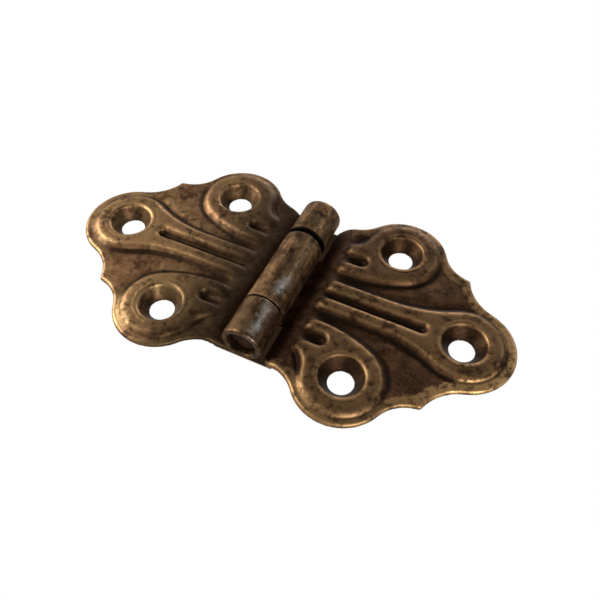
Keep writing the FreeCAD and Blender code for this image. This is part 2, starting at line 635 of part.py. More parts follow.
hinge_pin = doc.addObject("PartDesign::Body", "hinge_pin")
pin_drawing = Drawing(hinge_pin, "PinSection", "XZ_Plane")
pin_circle = pin_drawing.circle(V(0, size["barrel_r"], 0), pin_fit[0])
pin_drawing.radius(pin_circle, pin_fit[1])
pin_drawing.at_y(pin_circle, 3, "Sizes.barrel_r")
pin_drawing.tie("PointOnObject", pin_circle, 3, -2)
rod = add(hinge_pin, "Pad", "Rod", pin_drawing.sketch, Length="2 * (Sizes.front_end - Sizes.pin_inset)")
rod.Midplane = True
doc.recompute()
rod_rims = pick(rod.Shape.Edges, "Edge", lambda e: e.BoundBox.YLength < 1e-3)
fillet(hinge_pin, "RodRound", rod, rod_rims, "Sizes.pin_round")
doc.recompute()

for item in doc.Objects:
    faults = [word for word in ("Invalid", "Error") if word in item.State]
    if faults:
        raise RuntimeError("%s: %s" % (item.Name, item.State))
os.makedirs("parts", exist_ok=True)
for leaf in (left_leaf, right_leaf, hinge_pin):
    if leaf.Shape.isNull() or not leaf.Shape.isValid() or len(leaf.Shape.Solids) != 1:
        raise RuntimeError(leaf.Name + " is not one valid solid")
    leaf.Shape.exportStep("parts/%s.step" % leaf.Name)
    print(leaf.Name, round(leaf.Shape.Volume, 1), "cubic mm")
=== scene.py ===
import bpy
import json
import math
import numpy as np
from mathutils import Matrix, Vector
from mathutils.kdtree import KDTree

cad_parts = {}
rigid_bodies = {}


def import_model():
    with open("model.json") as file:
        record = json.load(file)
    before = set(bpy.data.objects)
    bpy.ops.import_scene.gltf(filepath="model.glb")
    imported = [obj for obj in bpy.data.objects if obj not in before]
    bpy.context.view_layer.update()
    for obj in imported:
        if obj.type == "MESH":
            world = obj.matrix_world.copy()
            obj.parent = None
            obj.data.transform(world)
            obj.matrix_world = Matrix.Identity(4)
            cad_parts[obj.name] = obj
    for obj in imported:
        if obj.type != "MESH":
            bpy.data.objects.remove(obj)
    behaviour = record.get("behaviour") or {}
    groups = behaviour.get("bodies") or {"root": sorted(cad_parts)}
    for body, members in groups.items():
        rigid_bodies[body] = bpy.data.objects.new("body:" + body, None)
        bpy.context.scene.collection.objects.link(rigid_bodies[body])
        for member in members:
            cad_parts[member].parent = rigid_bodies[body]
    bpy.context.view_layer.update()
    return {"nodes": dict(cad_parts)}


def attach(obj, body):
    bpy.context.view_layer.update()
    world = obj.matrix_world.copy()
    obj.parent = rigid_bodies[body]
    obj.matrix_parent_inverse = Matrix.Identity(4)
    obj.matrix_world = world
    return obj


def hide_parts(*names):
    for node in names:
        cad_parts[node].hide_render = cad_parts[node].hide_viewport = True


bpy.ops.object.select_all(action="SELECT")
bpy.ops.object.delete()
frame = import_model()
bpy.context.scene.view_settings.view_transform = "Standard"
print("frame loaded")

mm = 0.001
barrel = {"axisZ": 3.35, "skin": 3.5, "frontJoint": -7.5, "rearJoint": 7.95}  # in mm
holes = {"tipX": 30.0, "sideX": 15.5, "sideY": 13.0, "sinkRim": 3.62}  # in mm


# camera, where the photograph was taken from
view = {"azimuth": 25.138, "elevation": 52.848, "roll": 0.273, "away": 99.294 * mm,
        "target": (3.38 * mm, -1.367 * mm, 0.364 * mm), "lens": 36.52, "sensor": 36, "near": 0.001, "far": 50}


def setCamera():
    turn, lift, roll = (math.radians(view[key]) for key in ("azimuth", "elevation", "roll"))
    back = Vector((math.sin(turn) * math.cos(lift), -math.cos(turn) * math.cos(lift), math.sin(lift)))
    right = Vector((math.cos(turn), math.sin(turn), 0))
    up = back.cross(right)
    tiltedRight = right * math.cos(roll) + up * math.sin(roll)
    tiltedUp = up * math.cos(roll) - right * math.sin(roll)
    eye = Vector(view["target"]) + back * view["away"]
    bpy.ops.object.camera_add(location=eye)
    camera = bpy.context.object
    camera.name = "photoCamera"
    camera.matrix_world = Matrix((
        (tiltedRight.x, tiltedUp.x, back.x, eye.x),
        (tiltedRight.y, tiltedUp.y, back.y, eye.y),
        (tiltedRight.z, tiltedUp.z, back.z, eye.z),
        (0, 0, 0, 1)))
    camera.data.lens = view["lens"]
    camera.data.sensor_width = view["sensor"]
    camera.data.sensor_fit = "HORIZONTAL"
    camera.data.clip_start = view["near"]
    camera.data.clip_end = view["far"]
    bpy.context.scene.camera = camera


setCamera()
print("camera set")


# small helpers for node trees
nodeGrid = {"columns": 12, "across": 220, "down": -280}


def addNode(tree, kind, **values):
    node = tree.nodes.new(kind)
    row, column = divmod(len(tree.nodes), nodeGrid["columns"])
    node.location = (nodeGrid["across"] * column, nodeGrid["down"] * row)
    for key, value in values.items():
        setattr(node, key, value)
    return node


def feed(tree, socket, value):
    if isinstance(value, bpy.types.NodeSocket):
        tree.links.new(value, socket)
    elif isinstance(value, tuple) and socket.type == "RGBA":
        socket.default_value = (*value, 1)
    else:
        socket.default_value = value


def newGroup(name, inputs, output):
    tree = bpy.data.node_groups.new(name, "ShaderNodeTree")
    tree.interface.new_socket("Vector", in_out="INPUT", socket_type="NodeSocketVector")
    for label, value in inputs:
        tree.interface.new_socket(label, in_out="INPUT", socket_type="NodeSocketFloat").default_value = value
    tree.interface.new_socket(output, in_out="OUTPUT", socket_type="NodeSocketFloat")
    start = addNode(tree, "NodeGroupInput")
    end = addNode(tree, "NodeGroupOutput")
    return tree, start.outputs, end.inputs[output]


def combine(tree, operation, first, second, clamp=False):
    node = addNode(tree, "ShaderNodeMath", operation=operation, use_clamp=clamp)
    feed(tree, node.inputs[0], first)
    feed(tree, node.inputs[1], second)
    return node.outputs[0]


def noise(tree, vector, scale, detail, rough):
    node = addNode(tree, "ShaderNodeTexNoise")
    for label, value in (("Vector", vector), ("Scale", scale), ("Detail", detail), ("Roughness", rough)):
        feed(tree, node.inputs[label], value)
    return node.outputs["Fac"]


def ease(tree, value, low, high, bottom=0.0, top=1.0):
    node = addNode(tree, "ShaderNodeMapRange", interpolation_type="SMOOTHSTEP")
    limits = {"Value": value, "From Min": low, "From Max": high, "To Min": bottom, "To Max": top}
    for label, limit in limits.items():
        feed(tree, node.inputs[label], limit)
    return node.outputs["Result"]


def blend(tree, mask, first, second):
    node = addNode(tree, "ShaderNodeMix", data_type="RGBA")
    for number, value in ((0, mask), (6, first), (7, second)):
        feed(tree, node.inputs[number], value)
    return node.outputs[2]


def stretch(tree, vector, scale, turn=(0.0, 0.0, 0.0), move=(0.0, 0.0, 0.0)):
    node = addNode(tree, "ShaderNodeMapping")
    for label, value in (("Vector", vector), ("Scale", scale), ("Rotation", turn), ("Location", move)):
        feed(tree, node.inputs[label], value)
    return node.outputs["Vector"]


# rubbed: a measured height broken up by grain, for worn edges with a painted highlight on them and for dirt
# and painted shade in creases
def makeRubbed():
    inputs = [("Ridge", 0.0), ("Start", 0.1), ("Full", 0.5), ("Broken", 0.4), ("Grain", 900.0)]
    tree, given, result = newGroup("rubbed", inputs, "Mask")
    grain = noise(tree, given["Vector"], given["Grain"], detail=4.0, rough=0.6)
    centred = combine(tree, "SUBTRACT", grain, 0.5)
    shaken = combine(tree, "MULTIPLY", centred, given["Broken"])
    lifted = combine(tree, "ADD", given["Ridge"], shaken)
    feed(tree, result, ease(tree, lifted, given["Start"], given["Full"]))
    return tree


# how much each layer of noise counts in its group
share = {"cloud": 0.62, "spot": 0.38, "dents": 1.6, "pits": 0.45, "scratch": 0.12}


# blotches: uneven tarnish, large clouds with smaller spots inside them
def makeBlotches():
    inputs = [("Cloud", 180.0), ("Spot", 700.0), ("Low", 0.42), ("High", 0.6)]
    tree, given, result = newGroup("blotches", inputs, "Mask")
    cloud = noise(tree, given["Vector"], given["Cloud"], detail=3.0, rough=0.62)
    spot = noise(tree, given["Vector"], given["Spot"], detail=5.0, rough=0.62)
    broad = combine(tree, "MULTIPLY", cloud, share["cloud"])
    small = combine(tree, "MULTIPLY", spot, share["spot"])
    both = combine(tree, "ADD", broad, small)
    feed(tree, result, ease(tree, both, given["Low"], given["High"]))
    return tree


# handling: dents, pits and fine scratches as a height for bump
def makeHandling():
    tree, given, result = newGroup("handling", [("Dents", 320.0), ("Pits", 1500.0)], "Height")
    dents = noise(tree, given["Vector"], given["Dents"], detail=2.0, rough=0.5)
    pits = noise(tree, given["Vector"], given["Pits"], detail=5.0, rough=0.65)
    drawn = stretch(tree, given["Vector"], scale=(300.0, 3600.0, 1200.0), turn=(0.0, 0.0, 0.5))
    scratch = noise(tree, drawn, scale=1.0, detail=2.0, rough=0.5)
    height = combine(tree, "MULTIPLY", dents, share["dents"])
    height = combine(tree, "ADD", height, combine(tree, "MULTIPLY", pits, share["pits"]))
    height = combine(tree, "ADD", height, combine(tree, "MULTIPLY", scratch, share["scratch"]))
    feed(tree, result, height)
    return tree


rubbed, blotches, handling = makeRubbed(), makeBlotches(), makeHandling()


def use(tree, group, vector, **values):
    node = addNode(tree, "ShaderNodeGroup", node_tree=group)
    feed(tree, node.inputs["Vector"], vector)
    for key, value in values.items():
        feed(tree, node.inputs[key], value)
    return node.outputs[0]


def newMaterial(name):
    material = bpy.data.materials.new(name)
    material.use_nodes = True
    tree = material.node_tree
    return material, tree, tree.nodes["Principled BSDF"]


def addBump(tree, shader, height, strength, depth):
    bump = addNode(tree, "ShaderNodeBump")
    bump.inputs["Strength"].default_value = strength
    bump.inputs["Distance"].default_value = depth
    feed(tree, bump.inputs["Height"], height)
    feed(tree, shader.inputs["Normal"], bump.outputs["Normal"])


def attribute(tree, name):
    return addNode(tree, "ShaderNodeAttribute", attribute_name=name).outputs["Fac"]


# aged sheet brass: tarnish over brass, rubbed bright on what stands proud (wear with a painted highlight),
# dirt and painted shade in the creases; the left leaf is a lit copy and the right leaf a shaded copy of this
# brass
litLeftFinish = {"brass": (0.48, 0.31, 0.14), "olive": (0.37, 0.222, 0.1), "tarnish": (0.145, 0.067, 0.033),
              "rose": (0.3, 0.155, 0.083), "dirt": (0.02, 0.011, 0.005), "spot": (0.045, 0.022, 0.012),
              "low": 0.34, "high": 0.58, "flangeBareSheen": 0.35, "edge": 0.15, "raised": 0.5, "wornSheenMost": 0.4,
              "grimeAndShadeMost": 0.95, "creaseDirtAndShade": 0.68, "broadBarrelShade": 0.88, "barrelShade": 0.8, "sinkShade": 0.62,
              "spotty": 0.75, "fleck": 0.16, "seed": (0.0, 0.0, 0.0)}
# the right leaf's darker tarnish is painted shade, and its brighter rim brass is a painted highlight
shadedRightFinish = {"brass": (0.8, 0.49, 0.22), "olive": (0.29, 0.172, 0.078), "tarnish": (0.055, 0.026, 0.0125),
               "rose": (0.14, 0.07, 0.036), "dirt": (0.011, 0.006, 0.003), "spot": (0.032, 0.015, 0.008),
               "low": 0.12, "high": 0.34, "flangeBareSheen": 0.8, "edge": 0.0, "raised": 0.6, "wornSheenMost": 0.18,
               "grimeAndShadeMost": 0.95, "creaseDirtAndShade": 0.75, "broadBarrelShade": 0.3, "barrelShade": 0.2, "sinkShade": 0.62,
               "spotty": 0.75, "fleck": 0.06, "seed": (0.021, 0.013, 0.004)}
# where a mark starts and where it is full: mm from the rim, the barrel's axis, a hole or a joint
reach = {"bareSheenRim": (2.9, 0.3), "rimShadeReach": (2.4, 0.5), "broadBarrelShade": (22.0, 7.0), "barrelShade": (9.0, 5.2),
         "sinkShade": (holes["sinkRim"] - 0.1, holes["sinkRim"] - 0.4),
         "onBarrel": (barrel["skin"] + 0.08, barrel["skin"]), "joint": (0.5, 0.25)}
# the same along the model's own axes, with the mark's least and most
spread = {"fadesToRear": (14 * mm, 0.0, 0.25, 1.0), "dullFront": (-16 * mm, -7 * mm, 0.4, 1.0),
          "rimShadeFront": (2 * mm, -8 * mm, 0.45, 1.0), "crest": (2.78 * mm, 3.26 * mm)}
clouds = {"tarnish": {"Cloud": 170.0, "Spot": 800.0},
          "uneven": {"Cloud": 480.0, "Spot": 1600.0, "Low": 0.6, "High": 0.44},
          "rose": {"Cloud": 330.0, "Spot": 1300.0, "Low": 0.38, "High": 0.63},
          "spots": {"Cloud": 480.0, "Spot": 1250.0, "Low": 0.5, "High": 0.62},
          "barrelShade": {"Cloud": 420.0, "Spot": 1500.0, "Low": 0.3, "High": 0.5}}
rubbing = {"bareSheen": {"Start": 0.36, "Full": 0.62, "Broken": 1.3, "Grain": 430.0},
           "wornSheen": {"Start": 0.12, "Full": 0.8, "Broken": 0.7, "Grain": 1100.0},
           "grimeAndShade": {"Start": 0.18, "Full": 1.2, "Broken": 0.6, "Grain": 600.0},
           "creaseDirtAndShade": {"Start": 0.34, "Full": 1.1, "Broken": 0.5, "Grain": 900.0}}
specks = {"scale": 3800.0, "bright": (0.5, 0.34), "dark": (0.54, 0.7), "darkMost": 0.35}
surface = {"rough": (0.42, 0.5), "metal": (0.96, 0.8), "specular": 0.2, "bump": 0.5, "depth": 0.1 * mm,
           "scuffs": (0.42, 0.6, -0.1, 0.14), "scuffScale": 650.0, "dullest": 1.6}

# the barrel is browner than the leaves, streaked along its length (drawn grain and painted sheen lines), with
# a painted pale highlight along the top of its front half, and darker on the front knuckle
barrelFinish = {"brown": (0.14, 0.081, 0.042), "streakSheen": (0.29, 0.168, 0.08), "copper": (0.4, 0.21, 0.09),
                "dark": (0.022, 0.014, 0.009), "paleSheen": (0.42, 0.39, 0.34), "gap": (0.006, 0.004, 0.003),
                "paleSheenMost": 0.62, "cleaner": 0.8, "grain": (950.0, 130.0, 950.0), "sheenStreaks": (0.4, 0.6),
                "paleSheenMiddle": 1.5 * mm, "paleSheenAside": (1.3 * mm, 0.2 * mm), "paleSheenAlong": (1.0 * mm, -2.5 * mm),
                "paleSheenUp": (4.8 * mm, 5.6 * mm), "frontKnuckleDark": (-7.2 * mm, -7.7 * mm, 0.0, 0.5)}
barrelClouds = {"dark": {"Cloud": 360.0, "Spot": 1500.0, "Low": 0.42, "High": 0.7},
                "copper": {"Cloud": 330.0, "Spot": 900.0, "Low": 0.54, "High": 0.66},
                "sheenBreakup": {"Cloud": 260.0, "Spot": 1700.0, "Low": 0.45, "High": 0.6}}


def barrelColour(tree, marks):
    here = marks["here"]
    # lengthwise streaks: drawn grain and painted sheen lines along the barrel
    drawn = stretch(tree, here, barrelFinish["grain"])
    sheenStreaks = noise(tree, drawn, scale=1.0, detail=4.0, rough=0.65)
    sheenStreaks = ease(tree, sheenStreaks, *barrelFinish["sheenStreaks"])
    coppery = use(tree, blotches, here, **barrelClouds["copper"])
    # darker on the front knuckle
    frontKnuckleDarker = ease(tree, marks["along"], *barrelFinish["frontKnuckleDark"])
    gloomy = combine(tree, "MAXIMUM", use(tree, blotches, here, **barrelClouds["dark"]), frontKnuckleDarker)
    # a painted highlight: a pale reflection along the top of the barrel's front half
    aside = combine(tree, "SUBTRACT", marks["across"], barrelFinish["paleSheenMiddle"])
    aside = combine(tree, "ABSOLUTE", aside, 0.0)
    sheenMask = use(tree, blotches, here, **barrelClouds["sheenBreakup"])
    for value, limits in ((aside, "paleSheenAside"), (marks["along"], "paleSheenAlong"), (marks["up"], "paleSheenUp")):
        sheenMask = combine(tree, "MULTIPLY", sheenMask, ease(tree, value, *barrelFinish[limits]))
    sheenMask = combine(tree, "MULTIPLY", sheenMask, barrelFinish["paleSheenMost"])
    colour = blend(tree, sheenStreaks, barrelFinish["brown"], barrelFinish["streakSheen"])
    colour = blend(tree, coppery, colour, barrelFinish["copper"])
    colour = blend(tree, gloomy, colour, barrelFinish["dark"])
    return blend(tree, sheenMask, colour, barrelFinish["paleSheen"])


# what the leaf's finish goes by: the measured attributes and the place on the model
def leafMarks(tree, seed):
    names = ("ridgeFine", "ridgeBroad", "rimNear", "barrelNear", "holeNear", "jointNear")
    marks = {name: attribute(tree, name) for name in names}
    where = addNode(tree, "ShaderNodeTexCoord").outputs["Object"]
    marks["here"] = stretch(tree, where, (1.0, 1.0, 1.0), move=seed)
    parts = addNode(tree, "ShaderNodeSeparateXYZ")
    feed(tree, parts.inputs[0], where)
    for name, axis in (("across", "X"), ("along", "Y"), ("up", "Z")):
        marks[name] = parts.outputs[axis]
    return marks


# tarnish is rubbed off the rim, most in the middle of the leaf; this bright bare rim is also a painted
# highlight, kept off the rear edge and strongest on the right leaf
def leafTarnish(tree, marks, finish, uneven):
    near = ease(tree, marks["rimNear"], *reach["bareSheenRim"])
    # bright bare rim: worn brass and a painted highlight
    bareSheen = use(tree, rubbed, marks["here"], Ridge=near, **rubbing["bareSheen"])
    bareSheen = combine(tree, "MULTIPLY", bareSheen, finish["flangeBareSheen"])
    for limits in ("fadesToRear", "dullFront"):
        bareSheen = combine(tree, "MULTIPLY", bareSheen, ease(tree, marks["along"], *spread[limits]))
    bareSheen = combine(tree, "MULTIPLY", bareSheen, ease(tree, uneven, 0.0, 1.0, bottom=0.4))
    tarnish = use(tree, blotches, marks["here"], Low=finish["low"], High=finish["high"], **clouds["tarnish"])
    return combine(tree, "SUBTRACT", tarnish, bareSheen, True)


# dirt and painted shade lie in the creases; painted shade also darkens the countersinks, the front of the
# outer rim and the leaf towards the barrel
def leafGrimeAndShade(tree, marks, finish, speck, onBarrel):
    here = marks["here"]
    sunk = combine(tree, "MULTIPLY", marks["ridgeBroad"], -1.0)
    folded = combine(tree, "MULTIPLY", marks["ridgeFine"], -1.0)
    # dirt and painted shade in the hollows and creases
    grimeAndShade = use(tree, rubbed, here, Ridge=sunk, **rubbing["grimeAndShade"])
    grimeAndShade = combine(tree, "MULTIPLY", grimeAndShade, finish["grimeAndShadeMost"])
    creaseDirtAndShade = use(tree, rubbed, here, Ridge=folded, **rubbing["creaseDirtAndShade"])
    creaseDirtAndShade = combine(tree, "MULTIPLY", creaseDirtAndShade, finish["creaseDirtAndShade"])
    # painted shade on the outer rim's edge towards the front, dimming its reflection
    edge = ease(tree, marks["rimNear"], *reach["rimShadeReach"], 0.0, finish["edge"])
    edge = combine(tree, "MULTIPLY", edge, ease(tree, marks["along"], *spread["rimShadeFront"]))
    dark = ease(tree, speck, *specks["dark"], 0.0, specks["darkMost"])
    # broad painted shade, darker towards the barrel
    broadBarrelShade = ease(tree, marks["barrelNear"], *reach["broadBarrelShade"], 0.0, finish["broadBarrelShade"])
    # painted shade of the barrel on the strip of leaf beside it
    barrelShade = ease(tree, marks["barrelNear"], *reach["barrelShade"], 0.0, finish["barrelShade"])
    barrelShade = combine(tree, "MULTIPLY", barrelShade, use(tree, blotches, here, **clouds["barrelShade"]))
    # painted shade on the countersink walls
    sinkShade = ease(tree, marks["holeNear"], *reach["sinkShade"], 0.0, finish["sinkShade"])
    for layer in (creaseDirtAndShade, edge, dark, broadBarrelShade, barrelShade, sinkShade):
        grimeAndShade = combine(tree, "MAXIMUM", grimeAndShade, layer)
    cleaner = combine(tree, "MULTIPLY", onBarrel, barrelFinish["cleaner"])
    return combine(tree, "SUBTRACT", grimeAndShade, cleaner, True)


def leafColour(tree, marks, finish, masks):
    here = marks["here"]
    rosy = use(tree, blotches, here, **clouds["rose"])
    colour = blend(tree, rosy, finish["tarnish"], finish["rose"])
    colour = blend(tree, masks["tarnish"], finish["brass"], colour)
    raised = ease(tree, marks["up"], *spread["crest"], 0.0, finish["raised"])
    raised = combine(tree, "MULTIPLY", raised, ease(tree, masks["uneven"], 0.0, 1.0, bottom=0.45))
    raised = combine(tree, "MULTIPLY", raised, ease(tree, marks["along"], *spread["fadesToRear"]))
    colour = blend(tree, raised, colour, finish["olive"])
    # brass on the convex shoulders: edge wear and a painted highlight
    wornSheen = use(tree, rubbed, here, Ridge=marks["ridgeFine"], **rubbing["wornSheen"])
    colour = blend(tree, combine(tree, "MULTIPLY", wornSheen, finish["wornSheenMost"]), colour, finish["brass"])
    fleck = ease(tree, masks["speck"], *specks["bright"], 0.0, finish["fleck"])
    colour = blend(tree, fleck, colour, finish["brass"])
    spots = use(tree, blotches, here, **clouds["spots"])
    colour = blend(tree, combine(tree, "MULTIPLY", spots, finish["spotty"]), colour, finish["spot"])
    colour = blend(tree, masks["grimeAndShade"], colour, finish["dirt"])
    colour = blend(tree, masks["onBarrel"], colour, barrelColour(tree, marks))
    # painted shade in the gaps between the knuckles
    gap = combine(tree, "MULTIPLY", masks["onBarrel"], ease(tree, marks["jointNear"], *reach["joint"]))
    return blend(tree, gap, colour, barrelFinish["gap"])


def makeLeafBrass(name, finish):
    material, tree, shader = newMaterial(name)
    marks = leafMarks(tree, finish["seed"])
    here = marks["here"]
    masks = {"uneven": use(tree, blotches, here, **clouds["uneven"]),
             "speck": noise(tree, here, specks["scale"], detail=3.0, rough=0.6),
             "onBarrel": ease(tree, marks["barrelNear"], *reach["onBarrel"])}
    masks["tarnish"] = leafTarnish(tree, marks, finish, masks["uneven"])
    masks["grimeAndShade"] = leafGrimeAndShade(tree, marks, finish, masks["speck"], masks["onBarrel"])
    feed(tree, shader.inputs["Base Color"], leafColour(tree, marks, finish, masks))
    dull = combine(tree, "ADD", masks["tarnish"], masks["grimeAndShade"])
    rough = ease(tree, dull, 0.0, surface["dullest"], *surface["rough"])
    scuffs = noise(tree, here, surface["scuffScale"], detail=4.0, rough=0.65)
    scuffs = ease(tree, scuffs, *surface["scuffs"])
    smoother = combine(tree, "MULTIPLY", masks["onBarrel"], scuffs)
    feed(tree, shader.inputs["Roughness"], combine(tree, "SUBTRACT", rough, smoother))
    feed(tree, shader.inputs["Metallic"], ease(tree, masks["grimeAndShade"], 0.0, 1.0, *surface["metal"]))
    shader.inputs["Specular IOR Level"].default_value = surface["specular"]
    height = use(tree, handling, here, Dents=330.0, Pits=1700.0)
    addBump(tree, shader, height, surface["bump"], surface["depth"])
    return material


# the pin's ends are rusty steel, kept very dark as painted shade inside the barrel
pinFinish = {"shadedSteel": (0.03, 0.018, 0.012), "rust": (0.055, 0.023, 0.011), "crust": (0.009, 0.006, 0.004),
             "rough": (0.6, 0.85), "metal": 0.3, "specular": 0.1, "bump": 0.8, "depth": 0.3 * mm}


def makePinRustAndShade():
    material, tree, shader = newMaterial("rustyShadedPin")
    here = addNode(tree, "ShaderNodeTexCoord").outputs["Object"]
    rusty = use(tree, blotches, here, Cloud=500.0, Spot=1800.0, Low=0.4, High=0.58)
    crusty = use(tree, blotches, here, Cloud=900.0, Spot=2600.0, Low=0.46, High=0.6)
    # the very dark steel is painted shade inside the barrel's ends and gaps
    colour = blend(tree, rusty, pinFinish["shadedSteel"], pinFinish["rust"])
    colour = blend(tree, crusty, colour, pinFinish["crust"])
    feed(tree, shader.inputs["Base Color"], colour)
    feed(tree, shader.inputs["Roughness"], ease(tree, rusty, 0.0, 1.0, *pinFinish["rough"]))
    shader.inputs["Metallic"].default_value = pinFinish["metal"]
    shader.inputs["Specular IOR Level"].default_value = pinFinish["specular"]
    height = use(tree, handling, here, Dents=700.0, Pits=2200.0)
    addBump(tree, shader, height, pinFinish["bump"], pinFinish["depth"])
    return material


# one brass, made as a lit copy for the left leaf and a shaded copy for the right
leftBrassLit = makeLeafBrass("leftBrassLit", litLeftFinish)
rightBrassShaded = makeLeafBrass("rightBrassShaded", shadedRightFinish)
rustyShadedPin = makePinRustAndShade()
print("finishes made")


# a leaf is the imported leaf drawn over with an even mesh, so its wear can follow its own shape
leafShape = {"grain": 0.192 * mm, "softPasses": 3, "softFactor": 0.5}
# reaches are passes of smoothing, heights and distances are in mm
relief = {"ground": 2.5, "ceiling": 3.32, "limiter": 6, "rounds": 3, "roundReach": 55, "fill": 0.05,
          "swell": 2.4, "swellReach": 200, "swellSoft": 20, "deepest": -0.2, "highest": 0.3, "foot": 0.05,
          "shoulder": 0.2, "fromHole": (4.2, 5.2), "fromBarrel": (5.5, 7.5), "upward": (0.2, 0.6),
          "height": (2.2, 2.5)}
wear = {"ridgeFine": (10, 0.05), "ridgeBroad": (90, 0.2), "frontGap": 0.2}
rimWall = {"slope": 0.55, "low": 1.62, "high": 2.48, "fromHole": 7.0, "inner": 10.0, "outer": 14.0,
           "middle": 19.0, "slots": 240, "depth": 0.9, "slant": 1.2}


def alone(piece):
    bpy.ops.object.select_all(action="DESELECT")
    bpy.context.view_layer.objects.active = piece
    piece.select_set(True)


def settle(piece, kind, **values):
    modifier = piece.modifiers.new(kind.lower(), kind)
    for key, value in values.items():
        setattr(modifier, key, value)
    alone(piece)
    bpy.ops.object.modifier_apply(modifier=modifier.name)


def traceNode(node, name):
    piece = bpy.data.objects.new(name, frame["nodes"][node].data.copy())
    bpy.context.scene.collection.objects.link(piece)
    alone(piece)
    bpy.ops.mesh.customdata_custom_splitnormals_clear()
    bpy.ops.object.mode_set(mode="EDIT")
    bpy.ops.mesh.select_all(action="SELECT")
    bpy.ops.mesh.remove_doubles(threshold=1e-6)
    bpy.ops.object.mode_set(mode="OBJECT")
    return piece


def smoothed(values, edges, counts, passes):
    for step in range(passes):
        total = np.bincount(edges[:, 0], values[edges[:, 1]], len(values))
        total += np.bincount(edges[:, 1], values[edges[:, 0]], len(values))
        values = 0.5 * values + 0.5 * total / counts
    return values


def readMesh(what, label, width, kind):
    values = np.zeros(len(what) * width, dtype=kind)
    what.foreach_get(label, values)
    return values.reshape(-1, width)


def meshShape(mesh):
    points = readMesh(mesh.vertices, "co", 3, np.float64) / mm
    normals = readMesh(mesh.vertices, "normal", 3, np.float64)
    edges = readMesh(mesh.edges, "vertices", 2, np.int64)
    counts = np.maximum(np.bincount(edges.ravel(), minlength=len(points)), 1)
    return points, normals, edges, counts


def ramp(values, low, high):
    return np.clip((values - low) / (high - low), 0, 1)


def writeAttribute(mesh, name, values):
    layer = mesh.attributes.new(name, "FLOAT", "POINT")
    layer.data.foreach_set("value", np.ascontiguousarray(values, dtype=np.float32))


# of the points on upright walls, those on the leaf's outline and not in the hollows behind
def outerWalls(points, side):
    slots = rimWall["slots"]
    offset = points[:, :2] - np.array((side * rimWall["middle"], 0.0))
    turn = (np.arctan2(offset[:, 1], offset[:, 0]) + math.pi) / (2 * math.pi)
    slot = (turn * slots).astype(int) % slots
    distance = np.hypot(offset[:, 0], offset[:, 1])
    furthest = np.zeros(slots)
    np.maximum.at(furthest, slot, distance)
    outer = (offset[:, 0] * side > 0) | (np.abs(offset[:, 1]) > rimWall["slant"] * np.abs(offset[:, 0]))
    return points[outer & (distance > furthest[slot] - rimWall["depth"])]


def fromHoles(points, side):
    centres = [(holes["tipX"], 0.0), (holes["sideX"], holes["sideY"]), (holes["sideX"], -holes["sideY"])]
    return np.minimum.reduce([np.hypot(points[:, 0] * side - x, points[:, 1] - y) for x, y in centres])


# the pressed ridges are rounder than their flat tops: lower the shoulders, lift the crests, sink the feet
def swellRelief(piece):
    mesh = piece.data
    points, normals, edges, counts = meshShape(mesh)
    heights = points[:, 2].copy()
    side = np.sign(points[:, 0].mean())
    free = ramp(fromHoles(points, side), *relief["fromHole"])
    free *= ramp(np.abs(points[:, 0]), *relief["fromBarrel"]) * ramp(normals[:, 2], *relief["upward"])
    free *= ramp(heights, *relief["height"])
    foot = relief["ground"] + relief["foot"]
    shoulder = relief["ground"] + relief["shoulder"]
    for step in range(relief["rounds"]):
        proud = free * ramp(heights, foot, shoulder)
        change = proud * (smoothed(heights, edges, counts, relief["roundReach"]) - heights)
        heights += np.where(change < 0, change, relief["fill"] * change)
    lift = heights - smoothed(heights, edges, counts, relief["swellReach"])
    lift = np.where(heights > foot, lift, np.minimum(lift, 0))  # the flat rim stays flat
    lift = np.clip(lift, relief["deepest"], relief["highest"]) * free
    heights += relief["swell"] * smoothed(lift, edges, counts, relief["swellSoft"])
    raised = (free > 0) & (heights > relief["ground"])
    room = relief["ceiling"] - relief["ground"]  # a folded leaf lies just clear of the other
    rise = heights[raised] - relief["ground"]
    power = relief["limiter"]
    heights[raised] = relief["ground"] + rise * (1 + (rise / room) ** power) ** (-1 / power)
    points[:, 2] = heights
    mesh.vertices.foreach_set("co", (points * mm).astype(np.float32).ravel())
    mesh.update()


# how far each point stands proud of its surroundings, and how near it is to the rim, a hole and the barrel
def measureWear(piece):
    mesh = piece.data
    points, normals, edges, counts = meshShape(mesh)
    for label in ("ridgeFine", "ridgeBroad"):
        passes, full = wear[label]
        lift = sum((points[:, axis] - smoothed(points[:, axis], edges, counts, passes)) * normals[:, axis]
                   for axis in range(3))
        writeAttribute(mesh, label, lift / full)
    side = np.sign(points[:, 0].mean())
    nearest = fromHoles(points, side)
    writeAttribute(mesh, "holeNear", nearest)
    writeAttribute(mesh, "barrelNear", np.hypot(points[:, 0], points[:, 2] - barrel["axisZ"]))
    front = np.abs(points[:, 1] - barrel["frontJoint"]) + wear["frontGap"]
    rear = np.abs(points[:, 1] - barrel["rearJoint"])
    writeAttribute(mesh, "jointNear", np.minimum(front, rear))
    wall = np.abs(normals[:, 2]) < rimWall["slope"]
    wall &= (points[:, 2] > rimWall["low"]) & (points[:, 2] < rimWall["high"])
    wall &= nearest > rimWall["fromHole"]
    wall &= (points[:, 0] * side > rimWall["inner"]) | (np.abs(points[:, 1]) > rimWall["outer"])
    rim = outerWalls(points[wall], side)
    tree = KDTree(len(rim))
    for number, spot in enumerate(rim):
        tree.insert((spot[0], spot[1], 0), number)
    tree.balance()
    writeAttribute(mesh, "rimNear", [tree.find((x, y, 0))[2] for x, y, z in points])


